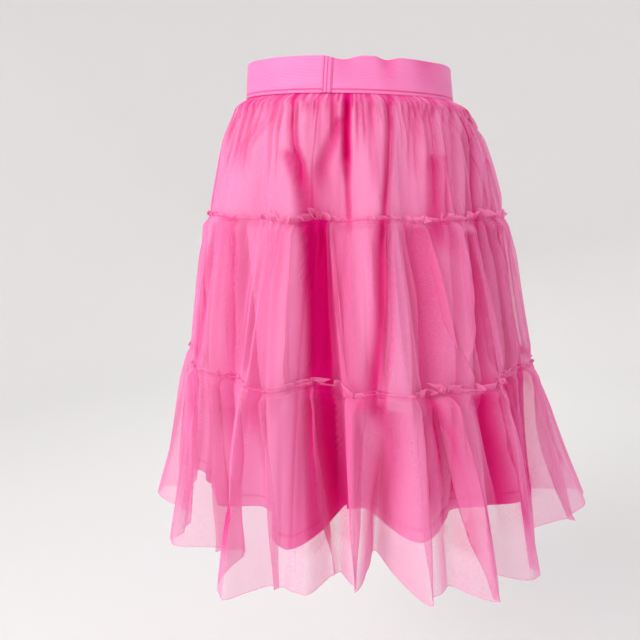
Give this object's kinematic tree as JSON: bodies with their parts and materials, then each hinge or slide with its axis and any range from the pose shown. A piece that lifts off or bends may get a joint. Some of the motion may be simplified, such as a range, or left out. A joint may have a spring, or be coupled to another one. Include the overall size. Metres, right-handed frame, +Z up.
{
  "type": "tulle skirt",
  "caption": "Knee-length gathered skirt of sheer tulle tiers over an opaque lining, on a wide elastic waistband, in its hollow worn shape.",
  "frame": {"origin": "middle of the waistband's ring, where the wearer's waist holds the skirt", "axes": "+Z up the wearer, -Y towards the skirt's back with the elastic's join, +X to the right when looking at that back"},
  "size_m": [0.6214, 0.4537, 0.5938],
  "materials": {
    "elastic": "ribbed woven elastic with a satin sheen",
    "lining": "plain woven lining, soft sheen",
    "tulle": "fine sheer net, matt"
  },
  "bodies": {
    "root": {"waistband": "elastic", "waistband_join": "elastic", "lining_left": "lining", "lining_right": "lining", "tier_1_back": "tulle", "tier_1_front": "tulle", "tier_2_back": "tulle", "tier_2_front": "tulle", "tier_3_back": "tulle", "tier_3_front": "tulle"}
  },
  "joints": []
}
